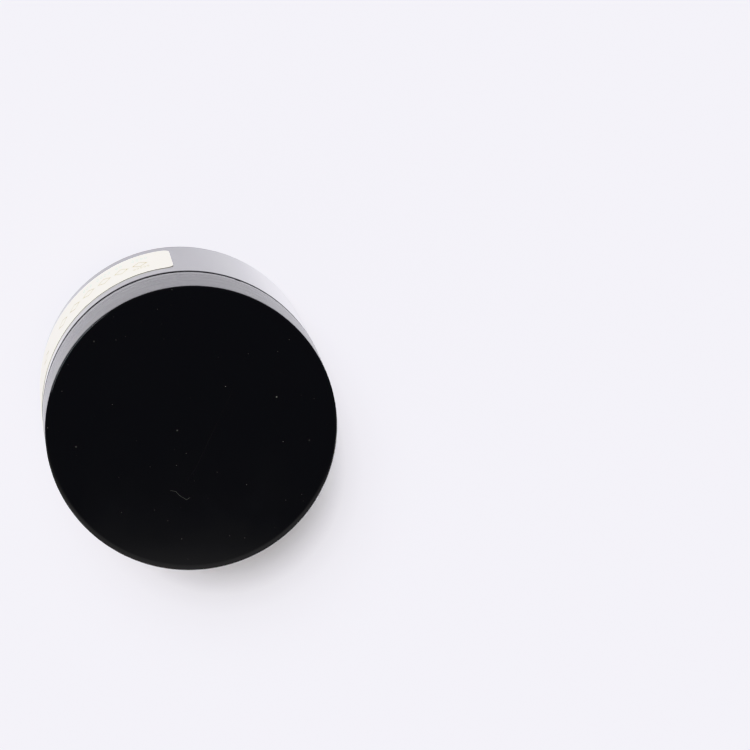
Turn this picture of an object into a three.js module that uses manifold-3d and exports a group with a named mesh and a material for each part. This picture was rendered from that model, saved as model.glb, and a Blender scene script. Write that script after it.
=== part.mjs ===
// A 50 ml double-walled cosmetic cream jar with a screw lid, in millimetres, +Z up.
// The origin is the centre of the base, where the jar stands. The label's middle faces -Y, the front.
//
// jar:          outer_jar (glossy shell), inner_jar (cup with the threaded neck), side_label
// sealing disc: sealing_disc, which plugs the mouth and is pulled out by its tab
// lid:          lid_shell (outer cap), lid_insert (threaded inner cap), lid_gasket (foam wad)
//
// The closure has a right-hand thread with two starts. Turned anticlockwise, seen from above, the lid rises.
import * as THREE from "three";
import { mergeVertices } from "three/addons/utils/BufferGeometryUtils.js";
import Module from "manifold-3d";

// Driving dimensions
const RADIUS = 32; // the widest radius, where jar and lid meet
const HEIGHT = 49; // from the base to the lid's face
const LID_HEIGHT = 15; // how far the lid's skirt reaches down from its face
const SEAM = 1.2; // the open line between skirt and jar
const OUTER_WALL = 3.8;
const INNER_WALL = 1.3;
const MOUTH_RADIUS = 24.5;
const LEAD = 6; // how far one turn lifts the lid
const STARTS = 2;
const LID_DRAFT = 0.15; // how much the lid narrows from its skirt's edge to its face
const JAR_DRAFT = 0.3; // how much the jar narrows from its top to its heel
const FIT = 0.1; // play between two pieces that touch
const SEGMENTS = 72;

// Label, in millimetres and degrees
const LABEL_BOTTOM = 7;
const LABEL_TOP = 27;
const LABEL_ARC = 210;
const LABEL_CORNER = 1.8;
const LABEL_THICKNESS = 0.15;
const GLUE = 0.05;

// Levels, from the jar's top edge to the underside of the lid
const skirtEnd = HEIGHT - LID_HEIGHT;
const jarTop = skirtEnd - SEAM;
const collarTop = skirtEnd + 1.3;
const flangeTop = collarTop - FIT;
const flangeThickness = 1.4;
const seat = flangeTop - flangeThickness - FIT;
const insertBottom = collarTop + 0.6;
const shellTopThickness = 1.8;
const insertTop = HEIGHT - shellTopThickness - FIT;
const insertCeiling = insertTop - 1.15;
const gasketTop = insertCeiling - FIT / 2;
const gasketBottom = gasketTop - 1.05;
const discTop = gasketBottom - FIT;
const discFlangeBottom = discTop - 0.8;
const rimTop = discFlangeBottom - FIT / 2;

// Radii that neighbours share
const boreRadius = RADIUS - OUTER_WALL;
const counterboreRadius = boreRadius + 0.7;
const collarRadius = counterboreRadius + 0.8;
const neckRadius = MOUTH_RADIUS + 2.1;
const shellWall = 1.8;
const insertLipRadius = RADIUS - LID_DRAFT - shellWall - FIT;

// Thread
const ridgeHeight = 1.1;
const ridgeBase = 1.6;
const ridgeCrest = 0.7;
const ridgeSink = 0.5; // how deep a ridge's root lies in its wall
const crestPlay = 0.35; // between a crest and the root that it runs in
const insertRoot = neckRadius + ridgeHeight + crestPlay;
const threadStep = Math.PI / 24;
const neckThread = { bottom: flangeTop + 2.2, angle: 0, turns: 0.8 };
const lateTurn = 0.25; // the insert's ridge starts this much of a turn later on the same helix
const flankDrop = 1.25; // and runs this far below the neck's ridge
const insertThread = {
  bottom: neckThread.bottom + LEAD * lateTurn - flankDrop,
  angle: 2 * Math.PI * lateTurn,
  turns: 0.6,
};

const wasm = await Module();
wasm.setup();

const point = (radius, z) => new THREE.Vector2(radius, z);

// The points of a round corner about (radius, z), between two angles in degrees.
function corner(radius, z, size, from, to, steps) {
  return Array.from({ length: steps + 1 }, (_, i) => {
    const angle = THREE.MathUtils.degToRad(from + ((to - from) * i) / steps);
    return point(radius + size * Math.cos(angle), z + size * Math.sin(angle));
  });
}

// Turns a profile about +Z. It starts and ends on the axis and keeps the material on its left.
function turned(profile) {
  return new THREE.LatheGeometry(profile, SEGMENTS).rotateX(Math.PI / 2);
}

// A vertex at a radius, an angle about +Z and a height.
function polar(radius, angle, z) {
  return new THREE.Vector3(
    radius * Math.cos(angle),
    radius * Math.sin(angle),
    z,
  );
}

// A closed skin over a row of cross-sections that follow each other anticlockwise about +Z.
// Each has the same number of points, anticlockwise when the radius points right and +Z up.
function lofted(sections) {
  const around = sections[0].length;
  const last = (sections.length - 1) * around;
  const index = [];
  for (let row = 0; row < last; row += around)
    for (let i = 0; i < around; i++) {
      const a = row + i;
      const b = row + ((i + 1) % around);
      index.push(a, a + around, b, b, a + around, b + around);
    }
  for (let i = 1; i + 1 < around; i++) {
    index.push(0, i, i + 1);
    index.push(last, last + i + 1, last + i);
  }
  return new THREE.BufferGeometry()
    .setFromPoints(sections.flat())
    .setIndex(index);
}

function solid(geometry) {
  const bare = geometry.clone();
  bare.deleteAttribute("normal");
  bare.deleteAttribute("uv");
  const merged = mergeVertices(bare, 1e-4);
  return new wasm.Manifold(
    new wasm.Mesh({
      numProp: 3,
      vertProperties: merged.attributes.position.array,
      triVerts: new Uint32Array(merged.index.array),
    }),
  );
}

function geometryOf(manifold) {
  const { vertProperties, triVerts } = manifold.getMesh();
  return new THREE.BufferGeometry()
    .setAttribute(
      "position",
      new THREE.Float32BufferAttribute(vertProperties, 3),
    )
    .setIndex(new THREE.BufferAttribute(new Uint32Array(triVerts), 1));
}

// One helical ridge on the wall at rootRadius. It stands outwards where side is 1, inwards where side is -1.
// Its height fades to nothing over its first and last few steps.
function ridge(rootRadius, side, startAngle, bottom, turns) {
  const steps = Math.round((turns * 2 * Math.PI) / threadStep);
  const fadeSteps = 4;
  const sections = [];
  for (let i = 0; i <= steps; i++) {
    const fade = Math.min(1, (i + 1) / fadeSteps, (steps - i + 1) / fadeSteps);
    const height = ridgeHeight * fade;
    const middle = bottom + (LEAD * i * threadStep) / (2 * Math.PI);
    const section = [
      [-ridgeSink, -ridgeBase / 2],
      [0, -ridgeBase / 2],
      [height, -ridgeCrest / 2],
      [height, ridgeCrest / 2],
      [0, ridgeBase / 2],
      [-ridgeSink, ridgeBase / 2],
    ].map(([out, up]) =>
      polar(rootRadius + side * out, startAngle + i * threadStep, middle + up),
    );
    sections.push(side > 0 ? section : section.reverse());
  }
  return solid(lofted(sections));
}

function withThread(wall, rootRadius, side, { bottom, angle, turns }) {
  let result = wall;
  for (let start = 0; start < STARTS; start++) {
    const startAngle = angle + (2 * Math.PI * start) / STARTS;
    result = result.add(ridge(rootRadius, side, startAngle, bottom, turns));
  }
  return result;
}

// The glossy shell: a foot ring, a thick wall, and a collar under the lid's skirt, which the cup hangs in.
function outerJar() {
  const heel = 1.5;
  const topEdge = 0.6;
  const footRadius = RADIUS - JAR_DRAFT;
  const recessRadius = 24;
  const recessDepth = 0.8;
  const floor = 2.6;
  const fillet = 1.5;
  return turned([
    point(0, recessDepth),
    point(recessRadius, recessDepth),
    point(recessRadius + recessDepth, 0),
    ...corner(footRadius - heel, heel, heel, -90, 0, 5),
    ...corner(RADIUS - topEdge, jarTop - topEdge, topEdge, 0, 90, 3),
    point(collarRadius, jarTop),
    point(collarRadius, collarTop - 0.3),
    point(collarRadius - 0.3, collarTop),
    point(counterboreRadius, collarTop),
    point(counterboreRadius, seat),
    point(boreRadius, seat),
    ...corner(boreRadius - fillet, floor + fillet, fillet, 0, -90, 3),
    point(0, floor),
  ]);
}

// The cup: a bowl with a round floor, the flange that it hangs by, and the threaded neck.
function innerJar() {
  const floor = 6.5;
  const cupRadius = MOUTH_RADIUS - 0.6;
  const bowl = 9; // the inside radius between floor and wall
  const rimEdge = 0.5;
  const flangeRadius = counterboreRadius - 2 * FIT;
  const bowlCentre = cupRadius - bowl;
  const wall = turned([
    point(0, floor - INNER_WALL),
    ...corner(bowlCentre, floor + bowl, bowl + INNER_WALL, -90, 0, 6),
    point(MOUTH_RADIUS + INNER_WALL, flangeTop - flangeThickness),
    point(flangeRadius, flangeTop - flangeThickness),
    point(flangeRadius, flangeTop),
    point(neckRadius + 0.4, flangeTop),
    point(neckRadius, flangeTop + 0.4),
    ...corner(neckRadius - rimEdge, rimTop - rimEdge, rimEdge, 0, 90, 2),
    ...corner(MOUTH_RADIUS + rimEdge, rimTop - rimEdge, rimEdge, 90, 180, 2),
    ...corner(bowlCentre, floor + bowl, bowl, 0, -90, 6),
    point(0, floor),
  ]);
  return geometryOf(withThread(solid(wall), neckRadius, 1, neckThread));
}

// The outer jar's radius at a height on its wall.
function wallRadius(z) {
  return RADIUS - (JAR_DRAFT * (jarTop - z)) / jarTop;
}

// A paper strip with round corners that follows the wall, from one end at the left to the other.
function sideLabel() {
  const cornerSteps = 5;
  const bodySteps = 44;
  const arc = THREE.MathUtils.degToRad(LABEL_ARC);
  const length = arc * RADIUS;
  const middle = (LABEL_TOP + LABEL_BOTTOM) / 2;
  const straightHalf = (LABEL_TOP - LABEL_BOTTOM) / 2 - LABEL_CORNER;

  const cornerStations = Array.from({ length: cornerSteps }, (_, i) => {
    const turn = (0.5 * Math.PI * (i + 0.3)) / cornerSteps;
    return LABEL_CORNER * (1 - Math.cos(turn));
  });
  const bodyStations = Array.from(
    { length: bodySteps + 1 },
    (_, i) => LABEL_CORNER + ((length - 2 * LABEL_CORNER) * i) / bodySteps,
  );
  const stations = [
    ...cornerStations,
    ...bodyStations,
    ...cornerStations.toReversed().map((station) => length - station),
  ];

  const sections = stations.map((station) => {
    const fromEnd = Math.min(station, length - station, LABEL_CORNER);
    const inset = LABEL_CORNER - fromEnd;
    const half = straightHalf + Math.sqrt(LABEL_CORNER ** 2 - inset ** 2);
    const angle = -Math.PI / 2 - arc / 2 + station / RADIUS;
    return [
      [0, -half],
      [LABEL_THICKNESS, -half],
      [LABEL_THICKNESS, half],
      [0, half],
    ].map(([out, up]) =>
      polar(wallRadius(middle + up) + GLUE + out, angle, middle + up),
    );
  });
  return lofted(sections);
}

// The pull tab: a round-ended tongue that stands over the disc's panel on a post along its root.
function pullTab(panelTop) {
  const width = 13;
  const length = 11;
  const thickness = 0.7;
  const root = -17;
  const postDepth = 1.4;
  const gap = 0.6; // between panel and tongue
  const sink = 0.3; // how deep the post's foot lies in the panel
  const roundCentre = root + length - width / 2;
  const outline = new THREE.Shape()
    .moveTo(-width / 2, root)
    .lineTo(width / 2, root)
    .lineTo(width / 2, roundCentre)
    .absarc(0, roundCentre, width / 2, 0, Math.PI);
  const tongue = new THREE.ExtrudeGeometry(outline, {
    depth: thickness,
    bevelEnabled: false,
    curveSegments: 12,
  }).translate(0, 0, panelTop + gap);
  const postHeight = sink + gap + thickness;
  const post = new THREE.BoxGeometry(width, postDepth, postHeight).translate(
    0,
    root + postDepth / 2,
    panelTop - sink + postHeight / 2,
  );
  return solid(tongue).add(solid(post));
}

// The polyethylene disc: a flange on the neck's rim, a plug skirt in the mouth, a sunk panel and a pull tab.
function sealingDisc() {
  const skirtBottom = discFlangeBottom - 2.3;
  const skirtWall = 0.9;
  const plugRadius = MOUTH_RADIUS - 0.3;
  const flangeRadius = neckRadius - 0.2;
  const skirtInner = plugRadius - skirtWall;
  const panelBottom = skirtBottom + 0.5;
  const panelTop = panelBottom + 0.8;
  const disc = turned([
    point(0, panelBottom),
    point(skirtInner - 0.5, panelBottom),
    point(skirtInner, skirtBottom),
    point(plugRadius - 0.4, skirtBottom),
    point(plugRadius, skirtBottom + 0.8),
    point(plugRadius, discFlangeBottom),
    point(flangeRadius, discFlangeBottom),
    point(flangeRadius, discTop),
    point(skirtInner, discTop),
    point(skirtInner - 0.2, panelTop),
    point(0, panelTop),
  ]);
  return geometryOf(solid(disc).add(pullTab(panelTop)));
}

// The outer cap: a flat face, a drafted skirt, and a small notch in the skirt's lower edge at the back left.
function lidShell() {
  const faceEdge = 0.4;
  const lowerEdge = 0.2;
  const rootFillet = 0.5;
  const faceRadius = RADIUS - LID_DRAFT;
  const faceInner = faceRadius - shellWall;
  const under = HEIGHT - shellTopThickness;
  const cap = turned([
    point(0, under),
    point(faceInner - rootFillet, under),
    point(faceInner, under - rootFillet),
    point(RADIUS - shellWall, skirtEnd),
    ...corner(RADIUS - lowerEdge, skirtEnd + lowerEdge, lowerEdge, -90, 0, 2),
    ...corner(faceRadius - faceEdge, HEIGHT - faceEdge, faceEdge, 0, 90, 4),
    point(0, HEIGHT),
  ]);
  const notchWidth = 1.3;
  const notchHeight = 0.55;
  const notchAngle = THREE.MathUtils.degToRad(140);
  const notch = new THREE.BoxGeometry(2 * shellWall, notchWidth, 2 * notchHeight)
    .translate(RADIUS, 0, skirtEnd)
    .rotateZ(notchAngle);
  return geometryOf(solid(cap).subtract(solid(notch)));
}

// The threaded inner cap: a lip and ribs that grip the shell, and a bead inside that keeps the foam wad in.
function lidInsert() {
  const wallRadiusOutside = insertRoot + 1.15;
  const shoulder = 0.7;
  const lipHeight = 0.9;
  const lead = 0.5; // the chamfer inside the insert's mouth
  const bead = 0.3;
  const beadZ = gasketBottom - 0.45;
  let body = solid(
    turned([
      point(0, insertCeiling),
      point(insertRoot, insertCeiling),
      point(insertRoot, beadZ + bead),
      point(insertRoot - bead, beadZ),
      point(insertRoot, beadZ - bead),
      point(insertRoot, insertBottom + lead),
      point(insertRoot + lead, insertBottom),
      point(insertLipRadius, insertBottom),
      point(insertLipRadius, insertBottom + lipHeight),
      point(wallRadiusOutside, insertBottom + lipHeight + 0.4),
      point(wallRadiusOutside, insertTop - shoulder),
      point(wallRadiusOutside - shoulder, insertTop),
      point(0, insertTop),
    ]),
  );
  const ribs = 12;
  const ribOutside = insertLipRadius - 0.05;
  const ribDepth = ribOutside - wallRadiusOutside + 0.4;
  const ribHeight = 8;
  for (let i = 0; i < ribs; i++) {
    const rib = new THREE.BoxGeometry(ribDepth, 1.6, ribHeight)
      .translate(ribOutside - ribDepth / 2, 0, insertBottom + 0.5 + ribHeight / 2)
      .rotateZ((2 * Math.PI * (i + 0.5)) / ribs);
    body = body.add(solid(rib));
  }
  return geometryOf(withThread(body, insertRoot, -1, insertThread));
}

// The foam wad that presses on the disc and the rim.
function lidGasket() {
  const radius = insertRoot - 0.5;
  return turned([
    point(0, gasketBottom),
    point(radius, gasketBottom),
    point(radius, gasketTop),
    point(0, gasketTop),
  ]);
}

const finish = (color, roughness) =>
  new THREE.MeshStandardMaterial({ color, roughness, metalness: 0 });

const glossBlack = finish(0x08080b, 0.08);
const satinBlack = finish(0x0b0b0e, 0.3);
const naturalWhite = finish(0xeceae4, 0.45);
const milkyWhite = finish(0xf2f2ee, 0.35);
const foam = finish(0xf5f4ef, 0.9);
const paper = finish(0xf3f0e6, 0.75);

const jar = new THREE.Group();
function add(name, geometry, material) {
  const mesh = new THREE.Mesh(geometry, material);
  mesh.name = name;
  jar.add(mesh);
}

add("outer_jar", outerJar(), glossBlack);
add("inner_jar", innerJar(), naturalWhite);
add("side_label", sideLabel(), paper);
add("sealing_disc", sealingDisc(), milkyWhite);
add("lid_shell", lidShell(), satinBlack);
add("lid_insert", lidInsert(), naturalWhite);
add("lid_gasket", lidGasket(), foam);

export default jar;
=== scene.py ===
"""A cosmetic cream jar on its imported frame: fine turned pieces, procedural finishes and a pale studio.

Lengths in the constants and profiles are millimetres and become metres in the meshes.
The jar's axis is Z. LABEL_END and the other bearings are degrees anticlockwise from +X, seen from above.
"""
import math

import bmesh
import bpy
import numpy as np
from mathutils import Matrix, Vector


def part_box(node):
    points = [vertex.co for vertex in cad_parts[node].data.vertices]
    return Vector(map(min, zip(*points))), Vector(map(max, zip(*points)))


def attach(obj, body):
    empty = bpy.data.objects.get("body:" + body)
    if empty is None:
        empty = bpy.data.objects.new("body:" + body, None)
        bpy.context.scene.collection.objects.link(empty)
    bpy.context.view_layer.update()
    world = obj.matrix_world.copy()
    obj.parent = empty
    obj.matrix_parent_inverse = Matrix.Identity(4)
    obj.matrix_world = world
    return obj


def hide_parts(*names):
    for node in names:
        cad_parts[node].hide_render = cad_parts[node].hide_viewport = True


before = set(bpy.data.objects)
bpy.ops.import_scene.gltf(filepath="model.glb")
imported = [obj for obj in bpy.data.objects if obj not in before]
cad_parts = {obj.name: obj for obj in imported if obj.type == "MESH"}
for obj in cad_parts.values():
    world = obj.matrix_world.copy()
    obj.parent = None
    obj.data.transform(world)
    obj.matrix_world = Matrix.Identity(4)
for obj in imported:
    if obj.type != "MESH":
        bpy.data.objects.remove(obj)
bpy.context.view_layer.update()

MM = 0.001
TURN = 2 * math.pi

# Sizes that the CAD nodes give
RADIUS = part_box("lid_shell")[1].x / MM
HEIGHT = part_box("lid_shell")[1].z / MM
SKIRT_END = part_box("lid_shell")[0].z / MM
COLLAR_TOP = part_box("outer_jar")[1].z / MM
CUP_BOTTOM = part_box("inner_jar")[0].z / MM
RIM_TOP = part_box("inner_jar")[1].z / MM
DISC_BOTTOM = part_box("sealing_disc")[0].z / MM
DISC_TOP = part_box("sealing_disc")[1].z / MM
INSERT_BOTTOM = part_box("lid_insert")[0].z / MM
INSERT_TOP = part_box("lid_insert")[1].z / MM
GASKET_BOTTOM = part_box("lid_gasket")[0].z / MM
GASKET_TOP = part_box("lid_gasket")[1].z / MM
LABEL_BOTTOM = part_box("side_label")[0].z / MM
LABEL_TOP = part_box("side_label")[1].z / MM

# Sizes that the boxes don't give, the same as in the CAD source
SEAM = 1.2
LID_DRAFT = 0.15
JAR_DRAFT = 0.3
BORE = RADIUS - 3.8
COUNTERBORE = BORE + 0.7
COLLAR = COUNTERBORE + 0.8
MOUTH = 24.5
NECK = MOUTH + 2.1
INNER_WALL = 1.3
SHELL_WALL = 1.8
SHELL_TOP = 1.8
LABEL_ARC = 210
LABEL_LENGTH = math.radians(LABEL_ARC) * RADIUS
JAR_TOP = SKIRT_END - SEAM
FLANGE_TOP = COLLAR_TOP - 0.1

# Thread
LEAD = 6.0
STARTS = 2
RIDGE_HEIGHT = 1.1
RIDGE_BASE = 1.6
RIDGE_CREST = 0.7
INSERT_ROOT = NECK + RIDGE_HEIGHT + 0.35
NECK_THREAD = {"bottom": FLANGE_TOP + 2.2, "start": 0.0, "turns": 0.8}
INSERT_THREAD = {"bottom": FLANGE_TOP + 2.2 + LEAD * 0.25 - 1.25, "start": 0.25, "turns": 0.6}

# Bearings round the jar
FRONT = -90
LABEL_END = FRONT - LABEL_ARC / 2 + 360
PHOTO_UP = LABEL_END - 5.5
NOTCH = 140

# The disc's pull tab
TAB_WIDTH = 13.0
TAB_THICKNESS = 0.7
TAB_ROOT = -17.0
TAB_GAP = 0.6

SEGMENTS = 288
UV_UNIT = 100  # millimetres in one unit of the label's UV map


# ---------------------------------------------------------------- meshes


def corner(radius, z, size, start, end, steps=8):
    """The points of a round corner about (radius, z), from one angle to another in degrees."""
    angles = np.radians(np.linspace(start, end, steps + 1))
    return [(radius + size * math.cos(a), z + size * math.sin(a)) for a in angles]


def wall(radius, low, high, step=0.16, to_radius=None):
    """Points up or down a wall, close enough together to carry a thread or ribs."""
    count = max(2, round(abs(high - low) / step))
    end = radius if to_radius is None else to_radius
    return list(zip(np.linspace(radius, end, count + 1), np.linspace(low, high, count + 1)))


def angles_round(fine_at=None, fine_width=8, fine_steps=60):
    """Evenly spaced angles in radians, with more of them where a small detail needs them."""
    even = np.linspace(0, TURN, SEGMENTS, endpoint=False)
    if fine_at is None:
        return even
    middle, half = math.radians(fine_at), math.radians(fine_width / 2)
    fine = np.linspace(middle - half, middle + half, fine_steps)
    return np.sort(np.concatenate([even[np.abs(even - middle) > half * 1.1], fine]))


def finish_mesh(name, bm, sharp=35):
    """Makes a piece from a bmesh in millimetres: metres, outward faces, smooth but for its sharp edges."""
    bmesh.ops.scale(bm, vec=(MM, MM, MM), verts=bm.verts)
    bmesh.ops.recalc_face_normals(bm, faces=bm.faces)
    mesh = bpy.data.meshes.new(name)
    bm.to_mesh(mesh)
    bm.free()
    mesh.shade_smooth()
    mesh.set_sharp_from_angle(angle=math.radians(sharp))
    piece = bpy.data.objects.new(name, mesh)
    bpy.context.scene.collection.objects.link(piece)
    return piece


def turned_bmesh(profile, angles=None, shape=None):
    """A closed body turned about Z. Its profile starts and ends on the axis.
    shape(radius, z, angles) gives each ring's own radii and heights, for threads, ribs and notches."""
    if angles is None:
        angles = angles_round()
    bm = bmesh.new()
    rings = []
    for radius, z in profile:
        if radius < 1e-6:
            rings.append([bm.verts.new((0, 0, z))])
            continue
        radii, heights = shape(radius, z, angles) if shape else (radius, z)
        x = radii * np.cos(angles)
        y = radii * np.sin(angles)
        heights = np.broadcast_to(heights, x.shape)
        rings.append([bm.verts.new(v) for v in zip(x, y, heights)])
    for one, two in zip(rings, rings[1:]):
        for i in range(len(angles)):
            j = (i + 1) % len(angles)
            corners = [one[i % len(one)], one[j % len(one)], two[j % len(two)], two[i % len(two)]]
            bm.faces.new(dict.fromkeys(corners))
    return bm


def turned(name, profile, angles=None, shape=None, sharp=35):
    return finish_mesh(name, turned_bmesh(profile, angles, shape), sharp)


def smooth(x):
    x = np.clip(x, 0, 1)
    return x * x * (3 - 2 * x)


def ridge_height(z, angles, thread):
    """How far the thread's ridges stand out at a height, at each angle round the wall."""
    height = np.zeros_like(angles)
    fade = 1 / 12  # of a turn, over which each ridge rises from the wall
    for start in range(STARTS):
        for lap in (-1, 0, 1):
            turn = angles / TURN + lap - thread["start"] - start / STARTS
            middle = thread["bottom"] + LEAD * turn
            ends = smooth((turn + fade / 4) / fade) * smooth((thread["turns"] + fade / 4 - turn) / fade)
            flank = (RIDGE_BASE / 2 - np.abs(z - middle)) / ((RIDGE_BASE - RIDGE_CREST) / 2)
            height = np.maximum(height, RIDGE_HEIGHT * smooth(flank) * ends)
    return height


def outer_jar():
    """The glossy shell with its foot ring and the collar that the cup hangs in."""
    heel, edge = 1.5, 0.6
    recess, recess_top, small = 24.0, 0.8, 0.3
    floor, floor_round = 2.6, 1.5
    foot = RADIUS - JAR_DRAFT
    seat = FLANGE_TOP - 1.5
    profile = [(0, recess_top), (8, recess_top), (16, recess_top)]
    profile += corner(recess - small, recess_top - small, small, 90, 45, 3)
    profile += [(recess + 0.6, 0.2), *corner(recess + 1.1, small, small, 225, 270, 3)]
    profile += corner(foot - heel, heel, heel, -90, 0, 14)
    profile += wall(foot, 2, JAR_TOP - edge - 0.4, 2.0, RADIUS - 0.01)
    profile += corner(RADIUS - edge, JAR_TOP - edge, edge, 0, 90, 10)
    profile += [(COLLAR + 0.2, JAR_TOP), *corner(COLLAR + 0.2, JAR_TOP + 0.2, 0.2, -90, -180, 4)]
    profile += corner(COLLAR - small, COLLAR_TOP - small, small, 0, 90, 5)
    profile += corner(COUNTERBORE + 0.15, COLLAR_TOP - 0.15, 0.15, 90, 180, 4)
    profile += [(COUNTERBORE, seat), (BORE, seat)]
    profile += corner(BORE - floor_round, floor + floor_round, floor_round, 0, -90, 8)
    profile += [(0, floor)]
    return turned("outer_jar_shell", profile)


def inner_jar():
    """The cup: a bowl, the flange that it hangs by, and the threaded neck with its round rim."""
    floor = CUP_BOTTOM + INNER_WALL
    inside = MOUTH - 0.6
    bowl = 9.0
    centre = inside - bowl
    flange = COUNTERBORE - 0.2
    under = FLANGE_TOP - 1.4
    rim = 0.5
    profile = [(0, CUP_BOTTOM), (7, CUP_BOTTOM)]
    profile += corner(centre, floor + bowl, bowl + INNER_WALL, -90, 0, 24)
    profile += [(MOUTH + INNER_WALL, under - 0.3)]
    profile += corner(MOUTH + INNER_WALL + 0.3, under - 0.3, 0.3, 180, 90, 3)
    profile += corner(flange - 0.15, under + 0.15, 0.15, -90, 0, 3)
    profile += corner(flange - 0.2, FLANGE_TOP - 0.2, 0.2, 0, 90, 4)
    profile += corner(NECK + 0.4, FLANGE_TOP + 0.4, 0.4, -90, -180, 6)
    profile += wall(NECK, FLANGE_TOP + 0.55, RIM_TOP - rim - 0.05)
    profile += corner(NECK - rim, RIM_TOP - rim, rim, 0, 90, 8)
    profile += corner(MOUTH + rim, RIM_TOP - rim, rim, 90, 180, 8)
    profile += [(MOUTH, RIM_TOP - 6), (inside, RIM_TOP - 16)]
    profile += corner(centre, floor + bowl, bowl, 0, -90, 24)
    profile += [(7, floor), (0, floor)]

    def threaded(radius, z, angles):
        on_neck = abs(radius - NECK) < 1e-6
        return radius + (ridge_height(z, angles, NECK_THREAD) if on_neck else 0 * angles), z

    return turned("inner_cup", profile, shape=threaded, sharp=40)


def wall_radius(z):
    return RADIUS - JAR_DRAFT * (JAR_TOP - z) / JAR_TOP


def label_stations(rounding):
    """Distances along the label, close together where its corners are round."""
    tip = 0.02
    turns = np.linspace(0, math.pi / 2, 12)[1:]
    ends = rounding * (1 - np.cos(turns))
    middle = np.linspace(rounding, LABEL_LENGTH - rounding, 160)[1:-1]
    return np.concatenate([[tip], ends, middle, (LABEL_LENGTH - ends)[::-1], [LABEL_LENGTH - tip]])


def label_column(bm, s, reach, places):
    """The vertices across the label at one distance along it: up its outside, then down its inside.
    Each vertex's place on the flat label goes into places."""
    thickness, glue, count = 0.15, 0.05, 26
    middle = (LABEL_TOP + LABEL_BOTTOM) / 2
    angle = math.radians(LABEL_END) + s / RADIUS
    heights = np.linspace(-reach, reach, count)
    column = []
    for gap, ups in ((glue + thickness, heights), (glue, heights[::-1])):
        for up in ups:
            radius = wall_radius(middle + up) + gap
            column.append(bm.verts.new((radius * math.cos(angle), radius * math.sin(angle), middle + up)))
            places[column[-1]] = (s, middle + up - LABEL_BOTTOM)
    return column


def side_label():
    """The paper label: a thin curved strip with round corners.
    Its UV map holds the place along the strip from its photographed end, and up the strip."""
    rounding = 1.8
    half = (LABEL_TOP - LABEL_BOTTOM) / 2
    bm = bmesh.new()
    uv = bm.loops.layers.uv.new("print")
    places = {}
    columns = []
    for s in label_stations(rounding):
        inset = max(0.0, rounding - min(s, LABEL_LENGTH - s))
        reach = half - rounding + math.sqrt(max(0.0, rounding**2 - inset**2))
        columns.append(label_column(bm, s, reach, places))
    for one, two in zip(columns, columns[1:]):
        for i in range(len(one)):
            j = (i + 1) % len(one)
            bm.faces.new([one[i], two[i], two[j], one[j]])
    for column in (columns[0], columns[-1]):
        for i in range(len(column) // 2 - 1):
            bm.faces.new([column[i], column[i + 1], column[-2 - i], column[-1 - i]])
    for face in bm.faces:
        for loop in face.loops:
            s, up = places[loop.vert]
            loop[uv].uv = (s / UV_UNIT, up / UV_UNIT)
    return finish_mesh("paper_side_label", bm)


def add_box(bm, size, centre, bevel):
    matrix = Matrix.Translation(centre) @ Matrix.Diagonal((*size, 1))
    made = bmesh.ops.create_cube(bm, size=1, matrix=matrix)
    edges = {e for v in made["verts"] for e in v.link_edges}
    bmesh.ops.bevel(bm, geom=list(edges), offset=bevel, segments=3, affect="EDGES", profile=0.5)


def pull_tab(low):
    """The disc's tongue with its round end, from a height upwards."""
    length = 11.0
    half = TAB_WIDTH / 2
    centre = TAB_ROOT + length - half
    outline = [(-half, TAB_ROOT), (half, TAB_ROOT), *corner(0, centre, half, 0, 180, 32)]
    bm = bmesh.new()
    bottom = bm.faces.new([bm.verts.new((x, y, low)) for x, y in outline])
    top = bmesh.ops.extrude_face_region(bm, geom=[bottom])
    raised = [v for v in top["geom"] if isinstance(v, bmesh.types.BMVert)]
    bmesh.ops.translate(bm, vec=(0, 0, TAB_THICKNESS), verts=raised)
    bmesh.ops.recalc_face_normals(bm, faces=bm.faces)
    rims = [e for e in bm.edges if abs(e.verts[0].co.z - e.verts[1].co.z) < 1e-6]
    bmesh.ops.bevel(bm, geom=rims, offset=0.15, segments=3, affect="EDGES", profile=0.5)
    return finish_mesh("tab", bm)


def tab_parts(panel_top):
    """The tongue, its post and its grip bars, as separate closed bodies to be joined to the disc."""
    post_size = (TAB_WIDTH, 1.4, 1.6)
    tab_top = panel_top + TAB_GAP + TAB_THICKNESS
    parts = [pull_tab(panel_top + TAB_GAP)]
    post = bmesh.new()
    add_box(post, post_size, (0, TAB_ROOT + post_size[1] / 2, tab_top - post_size[2] / 2), 0.12)
    parts.append(finish_mesh("post", post))
    for i in range(4):
        bar = bmesh.new()
        reach = 8.6 - 1.5 * i
        add_box(bar, (reach, 0.45, 0.4), (0, -10.6 + 1.1 * i, tab_top + 0.05), 0.1)
        parts.append(finish_mesh("bar", bar))
    return parts


def join(piece, others):
    """Joins closed bodies into the piece, and removes them."""
    for other in others:
        union = piece.modifiers.new("join", "BOOLEAN")
        union.operation = "UNION"
        union.solver = "EXACT"
        union.object = other
    bpy.context.view_layer.update()
    evaluated = piece.evaluated_get(bpy.context.evaluated_depsgraph_get())
    mesh = bpy.data.meshes.new_from_object(evaluated)
    piece.modifiers.clear()
    piece.data = mesh
    for other in others:
        bpy.data.objects.remove(other)
    mesh.shade_smooth()
    mesh.set_sharp_from_angle(angle=math.radians(35))


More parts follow.
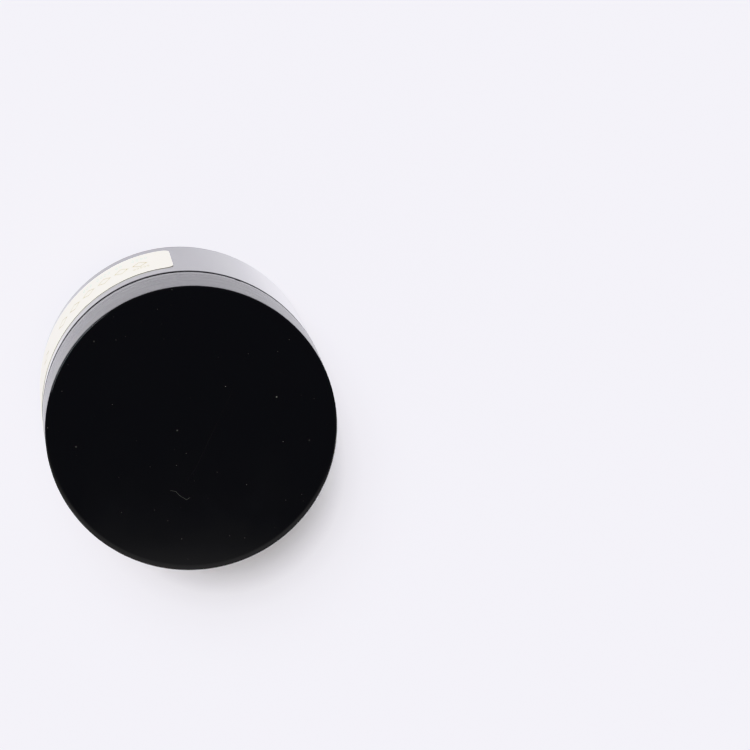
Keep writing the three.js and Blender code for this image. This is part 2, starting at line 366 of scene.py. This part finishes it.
def sealing_disc():
    """The polyethylene disc: flange, plug skirt, sunk panel with mould rings, and its pull tab."""
    plug = MOUTH - 0.3
    flange = NECK - 0.2
    flange_bottom = RIM_TOP + 0.05
    inner = plug - 0.9
    panel_bottom = DISC_BOTTOM + 0.5
    panel_top = panel_bottom + 0.8
    profile = [(0, panel_bottom), (10, panel_bottom), (inner - 0.7, panel_bottom)]
    profile += [(inner - 0.1, DISC_BOTTOM + 0.1), *corner(plug - 0.45, DISC_BOTTOM + 0.2, 0.2, -90, -60, 2)]
    profile += [(plug - 0.1, DISC_BOTTOM + 0.6), (plug, DISC_BOTTOM + 0.9), (plug, flange_bottom - 0.1)]
    profile += [(plug + 0.1, flange_bottom), *corner(flange - 0.2, flange_bottom + 0.2, 0.2, -90, 0, 4)]
    profile += corner(flange - 0.2, DISC_TOP - 0.2, 0.2, 0, 90, 4)
    profile += corner(inner + 0.2, DISC_TOP - 0.2, 0.2, 90, 180, 4)
    profile += [(inner - 0.15, panel_top + 0.3), *corner(inner - 0.45, panel_top + 0.3, 0.3, 0, -90, 5)]
    ring_height = 0.12
    for ring in (20.4, 19.6):
        profile += [(ring, panel_top), (ring - 0.15, panel_top + ring_height)]
        profile += [(ring - 0.45, panel_top + ring_height), (ring - 0.6, panel_top)]
    profile += [(12, panel_top), (1.2, panel_top), *corner(0.8, panel_top - 0.1, 0.1, 90, 180, 3)]
    profile += [(0, panel_top - 0.15)]
    disc = turned("sealing_disc_body", profile)
    join(disc, tab_parts(panel_top))
    return disc


def lid_shell():
    """The outer cap: a flat face with a small edge radius, and a skirt with a notch in its lower edge."""
    face_edge, lower_edge, root = 0.4, 0.2, 0.5
    notch_width, notch_height = 1.3, 0.55
    face = RADIUS - LID_DRAFT
    under = HEIGHT - SHELL_TOP
    inner = face - SHELL_WALL
    profile = [(0, under), (12, under), (24, under), *corner(inner - root, under - root, root, 90, 0, 5)]
    profile += [(RADIUS - SHELL_WALL, SKIRT_END + 2.2)]
    profile += corner(RADIUS - SHELL_WALL + lower_edge, SKIRT_END + lower_edge, lower_edge, 180, 270, 5)
    profile += corner(RADIUS - lower_edge, SKIRT_END + lower_edge, lower_edge, -90, 0, 5)
    profile += wall(RADIUS - 0.02, SKIRT_END + 2.2, HEIGHT - face_edge - 0.3, 3.0, face)
    profile += corner(face - face_edge, HEIGHT - face_edge, face_edge, 0, 90, 10)
    profile += [(face - 1.2, HEIGHT), (22, HEIGHT), (12, HEIGHT), (0, HEIGHT)]

    def notched(radius, z, angles):
        along = np.radians(NOTCH) - angles
        dip = smooth((notch_width / 2 - np.abs(along * RADIUS)) / 0.25 + 0.5)
        return radius, z + notch_height * dip * (z < SKIRT_END + 0.5)

    return turned("lid_outer_shell", profile, angles=angles_round(NOTCH), shape=notched)


def lid_insert():
    """The threaded inner cap: lip and ribs outside, the thread and the bead that keeps the wad inside."""
    outside = INSERT_ROOT + 1.15
    lip = RADIUS - LID_DRAFT - SHELL_WALL - 0.1
    ceiling = INSERT_TOP - 1.15
    bead, bead_z = 0.3, GASKET_BOTTOM - 0.45
    rib_low, rib_high = INSERT_BOTTOM + 0.5, INSERT_BOTTOM + 8.5
    profile = [(0, ceiling), (14, ceiling), *corner(INSERT_ROOT - 0.2, ceiling - 0.2, 0.2, 90, 0, 4)]
    for share in np.linspace(0, 1, 13):
        reach = bead * (1 - math.cos(TURN * share)) / 2
        profile.append((INSERT_ROOT - reach, bead_z + bead * (1 - 2 * share)))
    profile += wall(INSERT_ROOT, bead_z - bead - 0.1, INSERT_BOTTOM + 0.55)
    profile += [(INSERT_ROOT + 0.5, INSERT_BOTTOM)]
    profile += corner(lip - 0.15, INSERT_BOTTOM + 0.15, 0.15, -90, 0, 3)
    profile += corner(lip - 0.15, INSERT_BOTTOM + 0.75, 0.15, 0, 90, 3)
    profile += [(outside + 0.001, z) for _, z in wall(0, INSERT_BOTTOM + 1.3, INSERT_TOP - 0.7, 0.3)]
    profile += corner(outside - 0.7, INSERT_TOP - 0.7, 0.7, 0, 90, 6)
    profile += [(14, INSERT_TOP), (0, INSERT_TOP)]

    def ribbed(radius, z, angles):
        if abs(radius - INSERT_ROOT) < 1e-6 and z < bead_z - bead:
            return radius - ridge_height(z, angles, INSERT_THREAD), z
        if abs(radius - outside - 0.001) < 1e-6:
            from_rib = np.abs((angles * 12 / TURN) % 1 - 0.5) * TURN / 12 * outside
            ends = smooth((z - rib_low) / 0.6) * smooth((rib_high - z) / 0.6)
            return radius + (lip - outside - 0.06) * smooth((0.95 - from_rib) / 0.3) * ends, z
        return radius + 0 * angles, z

    return turned("lid_threaded_insert", profile, shape=ribbed, sharp=40)


def lid_gasket():
    """The foam wad, with the ring that the neck's rim has pressed into it."""
    radius = INSERT_ROOT - 0.5
    edge, pressed = 0.2, 0.07
    profile = [(0, GASKET_BOTTOM), (12, GASKET_BOTTOM), (MOUTH - 0.6, GASKET_BOTTOM)]
    profile += [(MOUTH - 0.2, GASKET_BOTTOM + pressed), (NECK - 0.2, GASKET_BOTTOM + pressed)]
    profile += [(NECK + 0.15, GASKET_BOTTOM)]
    profile += corner(radius - edge, GASKET_BOTTOM + edge, edge, -90, 0, 5)
    profile += corner(radius - edge, GASKET_TOP - edge, edge, 0, 90, 5)
    profile += [(12, GASKET_TOP), (0, GASKET_TOP)]
    return turned("lid_foam_wad", profile)


# ---------------------------------------------------------------- materials


def bearing(degrees, elevation=0):
    """The unit vector to a bearing round the jar and an elevation."""
    angle, lift = math.radians(degrees), math.radians(elevation)
    return Vector((math.cos(angle) * math.cos(lift), math.sin(angle) * math.cos(lift), math.sin(lift)))


class Nodes:
    """A small helper that adds nodes to a material or a world and links them."""

    def __init__(self, owner, shader="Principled BSDF"):
        owner.use_nodes = True
        self.owner = owner
        self.tree = owner.node_tree
        self.shader = self.tree.nodes[shader]

    def add(self, kind, inputs=None, **settings):
        node = self.tree.nodes.new("ShaderNode" + kind)
        for key, value in settings.items():
            setattr(node, key, value)
        for key, value in (inputs or {}).items():
            self.put(node.inputs[key], value)
        return node

    def put(self, socket, value):
        if isinstance(value, bpy.types.NodeSocket):
            self.tree.links.new(value, socket)
        else:
            socket.default_value = value

    def math(self, operation, *values, clamp=False):
        node = self.add("Math", operation=operation, use_clamp=clamp)
        for socket, value in zip(node.inputs, values):
            self.put(socket, value)
        return node.outputs[0]

    def any_of(self, values):
        """The largest of some masks."""
        largest = values[0]
        for value in values[1:]:
            largest = self.math("MAXIMUM", largest, value)
        return largest

    def set(self, **sockets):
        for key, value in sockets.items():
            self.put(self.shader.inputs[key.replace("_", " ")], value)

    def place(self):
        return self.add("TexCoord").outputs["Object"]

    def split(self, vector):
        return self.add("SeparateXYZ", {"Vector": vector}).outputs

    def dot(self, vector, direction):
        return self.add("VectorMath", {0: vector, 1: direction}, operation="DOT_PRODUCT").outputs["Value"]

    def noise(self, scale, detail=3.0, roughness=0.5, vector=None):
        node = self.add("TexNoise", {"Scale": scale, "Detail": detail, "Roughness": roughness})
        self.put(node.inputs["Vector"], vector or self.place())
        return node.outputs["Fac"]

    def stretch(self, scale):
        return self.add("Mapping", {"Vector": self.place(), "Scale": scale}).outputs[0]

    def ramp(self, value, low, high, out_low=0.0, out_high=1.0):
        node = self.add("MapRange", {"Value": value, "From Min": low, "From Max": high})
        node.inputs["To Min"].default_value = out_low
        node.inputs["To Max"].default_value = out_high
        return node.outputs[0]

    def mix(self, factor, one, two):
        node = self.add("Mix", data_type="RGBA")
        self.put(node.inputs["Factor"], factor)
        self.put(node.inputs["A"], one)
        self.put(node.inputs["B"], two)
        return node.outputs["Result"]

    def blend(self, factor, one, two):
        """A number between two numbers."""
        return self.add("Mix", {"Factor": factor, "A": one, "B": two}).outputs["Result"]

    def bump(self, height, strength, distance, below=None):
        node = self.add("Bump", {"Height": height, "Strength": strength, "Distance": distance})
        if below:
            self.put(node.inputs["Normal"], below)
        return node.outputs[0]

    def specks(self, scale, size, seed, share=0.2):
        """Small round specks of mixed strength, up to 1, in a share of the cells of a pattern."""
        moved = self.add("Mapping", {"Vector": self.place(), "Location": (seed, seed * 2, seed * 3)})
        cell = self.add("TexVoronoi", {"Vector": moved.outputs[0], "Scale": scale})
        strength = self.ramp(self.split(cell.outputs["Color"])[0], 1 - share, 1.0)
        inside = self.ramp(cell.outputs["Distance"], size, size * 0.5)
        return self.math("MULTIPLY", strength, inside)


def rgba(red, green, blue):
    return (red, green, blue, 1.0)


def new_material(name):
    return Nodes(bpy.data.materials.new(name))


def glossy_jar_black():
    """Polished black wall: faint smudges, very fine wiping scratches and a few dust specks."""
    n = new_material("jar_gloss_black")
    black, dust_grey = rgba(0.006, 0.006, 0.0068), rgba(0.06, 0.06, 0.063)
    smudge = n.noise(45, 4, 0.55)
    fine = n.noise(900, 2, 0.6, n.stretch((1, 1, 5)))
    dust = n.specks(330, 0.09, 4.0)
    roughness = n.ramp(smudge, 0.35, 0.7, 0.03, 0.09)
    n.set(Base_Color=n.mix(dust, black, dust_grey))
    n.set(Roughness=n.math("ADD", roughness, n.math("MULTIPLY", dust, 0.4)))
    n.set(IOR=1.47)
    n.set(Normal=n.bump(fine, 0.02, 0.00002))
    return n.owner


def face_axes():
    """The directions right and up across the lid's face, as in the photograph."""
    up = bearing(PHOTO_UP)
    return up.cross(Vector((0, 0, 1))), up


def stroke(n, start, end, width):
    """1 along a straight stroke on the lid's face. Its ends are millimetres right and up of the centre."""
    right, up = face_axes()
    first = (right * start[0] + up * start[1]) * MM
    along = (right * end[0] + up * end[1]) * MM - first
    away = n.add("VectorMath", {0: n.place(), 1: first}, operation="SUBTRACT").outputs[0]
    away = n.add("VectorMath", {0: away, 1: (1, 1, 0)}, operation="MULTIPLY").outputs[0]
    share = n.math("DIVIDE", n.dot(away, along), along.length_squared, clamp=True)
    nearest = n.add("VectorMath", {0: along, "Scale": share}, operation="SCALE").outputs[0]
    gap = n.add("VectorMath", {0: away, 1: nearest}, operation="DISTANCE").outputs["Value"]
    return n.ramp(gap, width * MM / 2, width * MM / 5)


def strokes(n, points, width):
    """1 along a line through some points on the lid's face."""
    return n.any_of([stroke(n, *ends, width) for ends in zip(points, points[1:])])


def face_marks(n, face):
    """What the lid's face carries: dust with a small hair, and a faint broken scratch."""
    hair = strokes(n, [(-4.4, -13.7), (-3.3, -13.9), (-2.5, -14.8), (-0.9, -15.8), (-0.2, -15.3)], 0.2)
    scratch = strokes(n, [(10.6, 13.0), (0.9, -8.9), (-1.6, -12.4)], 0.16)
    dust = n.any_of([n.specks(240, 0.07, 1.0, 0.35), n.specks(620, 0.08, 7.0, 0.3)])
    lint = n.math("MULTIPLY", n.any_of([dust, n.math("MULTIPLY", hair, 0.32)]), face)
    breaks = n.ramp(n.noise(300), 0.4, 0.65)
    faint = n.math("MULTIPLY", n.math("MULTIPLY", scratch, breaks), 0.06)
    return lint, faint


def lid_black():
    """The lid's black: a smooth face with its marks, and a satin skirt with fine rings round it."""
    n = new_material("lid_satin_black")
    black, mark_grey = rgba(0.0095, 0.0096, 0.0102), rgba(0.09, 0.09, 0.085)
    steepness = n.math("ABSOLUTE", n.split(n.add("NewGeometry").outputs["Normal"])[2])
    face = n.ramp(steepness, 0.08, 0.3)
    skirt = n.math("SUBTRACT", 1.0, face)
    lint, faint = face_marks(n, face)
    rings = n.noise(1.0, 2.5, 0.65, n.stretch((0, 0, 800)))
    bands = n.noise(1.0, 2, 0.5, n.stretch((0, 0, 500)))
    waves = n.math("ADD", rings, n.math("MULTIPLY", bands, 3.5))
    skirt_rough = n.ramp(bands, 0.3, 0.7, 0.23, 0.33)
    face_rough = n.ramp(n.noise(60, 4, 0.55), 0.3, 0.7, 0.05, 0.09)
    rough = n.blend(face, skirt_rough, face_rough)
    n.set(Base_Color=n.mix(n.any_of([lint, faint]), black, mark_grey))
    n.set(Roughness=n.math("ADD", rough, n.math("MULTIPLY", lint, 0.5)))
    n.set(IOR=n.blend(face, 1.36, 1.45))
    n.set(Normal=n.bump(n.math("MULTIPLY", waves, skirt), 1.0, 0.00002))
    return n.owner


def moulded_white(name, colour, roughness, subsurface):
    """Milky moulded plastic with faint flow marks and fine circular tool marks."""
    n = new_material(name)
    flow = n.noise(70, 4, 0.6)
    x, y, _ = n.split(n.place())
    radius = n.math("SQRT", n.math("ADD", n.math("MULTIPLY", x, x), n.math("MULTIPLY", y, y)))
    ring_frequency = 26000.0  # radians to a metre, so the rings are 0.24 mm apart
    rings = n.math("SINE", n.math("MULTIPLY", radius, ring_frequency))
    grain = n.noise(2600, 2, 0.5)
    darker = tuple(0.93 * c for c in colour)
    n.set(Base_Color=n.mix(n.ramp(flow, 0.35, 0.7), rgba(*darker), rgba(*colour)))
    n.set(Roughness=n.ramp(flow, 0.3, 0.7, roughness - 0.06, roughness + 0.06))
    n.set(IOR=1.5, Subsurface_Weight=subsurface, Subsurface_Scale=0.001)
    n.set(Subsurface_Radius=(1.0, 0.95, 0.85))
    n.set(Normal=n.bump(rings, 0.04, 0.00002, n.bump(grain, 0.08, 0.00002)))
    return n.owner


def foam_white():
    """Closed-cell foam: small cells with thin walls, dull and soft."""
    n = new_material("foam_white")
    pattern = n.add("TexVoronoi", {"Vector": n.place(), "Scale": 2600.0}, feature="DISTANCE_TO_EDGE")
    cells = pattern.outputs["Distance"]
    coarse = n.noise(900, 3, 0.6)
    n.set(Base_Color=n.mix(n.ramp(cells, 0.0, 0.2), rgba(0.74, 0.73, 0.69), rgba(0.86, 0.85, 0.81)))
    n.set(Roughness=n.ramp(coarse, 0.3, 0.7, 0.8, 0.95))
    n.set(Normal=n.bump(n.math("ADD", cells, n.math("MULTIPLY", coarse, 0.5)), 0.5, 0.00008))
    return n.owner


class Ornaments:
    """Masks of the label's ornaments. Lengths are millimetres along the label and up it."""

    def __init__(self, n):
        self.n = n
        uv = n.add("UVMap", uv_map="print").outputs["UV"]
        scale = (UV_UNIT, UV_UNIT, UV_UNIT)
        place = n.add("VectorMath", {0: uv, 1: scale}, operation="MULTIPLY").outputs[0]
        self.along, self.up, _ = n.split(place)
        self.from_end = n.math("MINIMUM", self.along, n.math("SUBTRACT", LABEL_LENGTH, self.along))

    def block(self, low, high):
        """1 between two distances from the nearer end of the label."""
        inside = self.n.math("GREATER_THAN", self.from_end, low)
        return self.n.math("MULTIPLY", inside, self.n.math("LESS_THAN", self.from_end, high))

    def lozenge(self, x, y, wide, tall, line):
        """The outline of a lozenge about x = 0, y = 0. The line is a share of its size."""
        across = self.n.math("DIVIDE", self.n.math("ABSOLUTE", x), wide)
        upward = self.n.math("DIVIDE", self.n.math("ABSOLUTE", y), tall)
        return self.n.math("COMPARE", self.n.math("ADD", across, upward), 1.0, line)

    def row(self, blocks, pitch, height, wide, tall, line):
        """A row of lozenges in some blocks. Blocks start a whole number of pitches from the first."""
        shifted = self.n.math("ADD", self.from_end, pitch / 2 - blocks[0][0])
        x = self.n.math("PINGPONG", shifted, pitch / 2)
        y = self.n.math("SUBTRACT", self.up, height)
        inside = self.n.any_of([self.block(*ends) for ends in blocks])
        return self.n.math("MULTIPLY", inside, self.lozenge(x, y, wide, tall, line))

    def emblem(self, radius):
        """A ring with a lozenge in it, in the middle of the label."""
        x = self.n.math("SUBTRACT", self.along, LABEL_LENGTH / 2)
        y = self.n.math("SUBTRACT", self.up, (LABEL_TOP - LABEL_BOTTOM) / 2)
        squares = self.n.math("ADD", self.n.math("MULTIPLY", x, x), self.n.math("MULTIPLY", y, y))
        ring = self.n.math("COMPARE", self.n.math("SQRT", squares), radius, 0.16)
        return self.n.math("MAXIMUM", ring, self.lozenge(x, y, radius * 0.5, radius * 0.72, 0.05))


def label_paper():
    """Cream paper with fine fibres, printed with lozenges in gold and sage and an emblem at the front."""
    n = new_material("label_cream_paper")
    cream, light_cream = rgba(0.78, 0.76, 0.69), rgba(0.81, 0.79, 0.73)
    gold_ink, sage_ink = rgba(0.31, 0.27, 0.16), rgba(0.36, 0.45, 0.38)
    ornaments = Ornaments(n)
    large = ornaments.row([(5, 31.4), (35.8, 40.2)], pitch=4.4, height=10.3, wide=1.65, tall=2.5, line=0.2)
    small = ornaments.row([(5, 9)], pitch=0.8, height=14.4, wide=0.28, tall=0.9, line=0.4)
    gold = n.any_of([large, small, ornaments.emblem(5.6)])
    words = [(5, 9), (11, 13), (14, 18), (19, 22)]
    sage = ornaments.row(words, pitch=1.0, height=4.4, wide=0.3, tall=1.4, line=0.4)
    fibre = n.noise(1500, 4, 0.65)
    blotch = n.noise(90, 3, 0.5)
    ink = n.ramp(n.noise(1800, 2, 0.5), 0.3, 0.6, 0.7, 1.0)
    paper = n.mix(n.ramp(blotch, 0.3, 0.7), cream, light_cream)
    printed = n.mix(n.math("MULTIPLY", gold, ink), paper, gold_ink)
    printed = n.mix(n.math("MULTIPLY", sage, n.math("MULTIPLY", ink, 0.8)), printed, sage_ink)
    n.set(Base_Color=printed)
    n.set(Roughness=n.ramp(fibre, 0.3, 0.7, 0.62, 0.78))
    n.set(Normal=n.bump(fibre, 0.15, 0.00003))
    return n.owner


# ---------------------------------------------------------------- assembly


def fit(piece, node, body, material):
    """Puts a piece in the place of a CAD node, which it hides: its body and its finish."""
    piece.data.materials.clear()
    piece.data.materials.append(material)
    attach(piece, body)
    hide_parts(node)


def build_jar():
    white = moulded_white("cup_white", (0.8, 0.79, 0.76), 0.4, 0.15)
    milky = moulded_white("disc_milky_white", (0.84, 0.84, 0.81), 0.32, 0.3)
    fit(outer_jar(), "outer_jar", "jar", glossy_jar_black())
    fit(inner_jar(), "inner_jar", "jar", white)
    fit(side_label(), "side_label", "jar", label_paper())
    fit(sealing_disc(), "sealing_disc", "disc", milky)
    fit(lid_shell(), "lid_shell", "lid", lid_black())
    fit(lid_insert(), "lid_insert", "lid", white)
    fit(lid_gasket(), "lid_gasket", "gasket", foam_white())


# ---------------------------------------------------------------- stage, light and camera


def pale_floor():
    """A wide floor under the base. It glows a little so that it stays pale out to the horizon."""
    half = 12.0
    mesh = bpy.data.meshes.new("floor")
    corners = [(-half, -half, 0), (half, -half, 0), (half, half, 0), (-half, half, 0)]
    mesh.from_pydata(corners, [], [(0, 1, 2, 3)])
    floor = bpy.data.objects.new("floor", mesh)
    bpy.context.scene.collection.objects.link(floor)
    n = new_material("floor_pale")
    n.set(Base_Color=rgba(0.8, 0.79, 0.85), Roughness=0.8, Emission_Color=rgba(1.0, 0.97, 0.88))
    n.set(Emission_Strength=0.12)
    mesh.materials.append(n.owner)


def hang(name, light, away):
    """Hangs a light one metre away in a direction, so that it shines back at the jar."""
    lamp = bpy.data.objects.new(name, light)
    lamp.location = away
    lamp.rotation_mode = "QUATERNION"
    lamp.rotation_quaternion = away.to_track_quat("Z", "Y")
    bpy.context.scene.collection.objects.link(lamp)
    return lamp


def softbox(name, away, width, height, brightness, colour):
    """A softbox in a direction. It is only seen as highlights on the jar."""
    light = bpy.data.lights.new(name, "AREA")
    light.shape = "RECTANGLE"
    light.size = width
    light.size_y = height
    light.energy = brightness * math.pi * width * height
    light.color = colour
    lamp = hang(name, light, away)
    lamp.visible_camera = False
    lamp.visible_diffuse = False


def studio_world():
    """Pale for the camera and softly bright for dull surfaces. Polished ones mirror a dark room
    with a pale wall behind the jar's far side, and a bright near side."""
    world = bpy.data.worlds.new("studio")
    bpy.context.scene.world = world
    backdrop, backdrop_colour = 1.66, rgba(0.949, 0.933, 1.0)
    ambient, ambient_colour = 0.36, rgba(1.0, 0.985, 0.965)
    room, wall_strength = 0.17, 1.1
    n = Nodes(world, "Background")
    direction = n.add("TexCoord").outputs["Generated"]
    height = n.split(direction)[2]
    towards_up = n.dot(direction, bearing(PHOTO_UP))
    path = n.add("LightPath").outputs
    far_wall = n.math("MULTIPLY", n.ramp(height, 0.5, 0.15), n.ramp(towards_up, 0.1, 0.7))
    near_side = n.ramp(towards_up, -0.262, -0.276)
    mirrored = n.math("ADD", n.math("MULTIPLY", far_wall, wall_strength), n.math("ADD", near_side, room))
    seen = n.blend(path["Is Glossy Ray"], ambient, mirrored)
    seen = n.blend(path["Is Camera Ray"], seen, backdrop)
    n.set(Color=n.mix(path["Is Camera Ray"], ambient_colour, backdrop_colour), Strength=seen)


def sun():
    """The key light, which isn't mirrored, from the photograph's upper left and well above."""
    light = bpy.data.lights.new("key", "SUN")
    light.energy = 5.3
    light.angle = math.radians(30)
    light.color = (0.985, 0.985, 1)
    lamp = hang("key", light, bearing(PHOTO_UP + 24, 61))
    lamp.visible_glossy = False


def lights():
    sun()
    softbox("edge_box", bearing(PHOTO_UP + 72, 60), 0.45, 0.24, 11, (0.93, 0.96, 1))
    softbox("front_strip", bearing(PHOTO_UP + 142, 21), 0.2, 0.7, 3, (0.97, 0.98, 1))
    softbox("back_strip", bearing(PHOTO_UP - 105, 21), 0.2, 0.7, 3, (1, 0.98, 0.96))


def photo_camera():
    """The camera in the photograph's place, in lid radii right, up and out from the face's centre."""
    place_right, place_up, place_out = -1.576, 5.492, 22.892
    aim_right, aim_up = 1.250, 0.381
    unit = (RADIUS - LID_DRAFT) * MM
    right, up = face_axes()
    out = Vector((0, 0, 1))
    centre = Vector((0, 0, HEIGHT * MM))
    place = centre + unit * (right * place_right + up * place_up + out * place_out)
    aim = centre + unit * (right * aim_right + up * aim_up)
    forward = (aim - place).normalized()
    camera_up = right.cross(forward).normalized()
    camera_right = forward.cross(camera_up).normalized()
    data = bpy.data.cameras.new("photo")
    data.sensor_width = 36
    data.lens = 165.6
    data.clip_start = 0.01
    data.clip_end = 100
    camera = bpy.data.objects.new("photo", data)
    axes = Matrix((camera_right, camera_up, -forward)).transposed()
    camera.matrix_world = Matrix.Translation(place) @ axes.to_4x4()
    bpy.context.scene.collection.objects.link(camera)
    bpy.context.scene.camera = camera


def view_settings():
    settings = bpy.context.scene.view_settings
    settings.view_transform = "Khronos PBR Neutral"
    settings.look = "None"
    settings.exposure = 0
    settings.gamma = 1


build_jar()
pale_floor()
studio_world()
lights()
photo_camera()
view_settings()
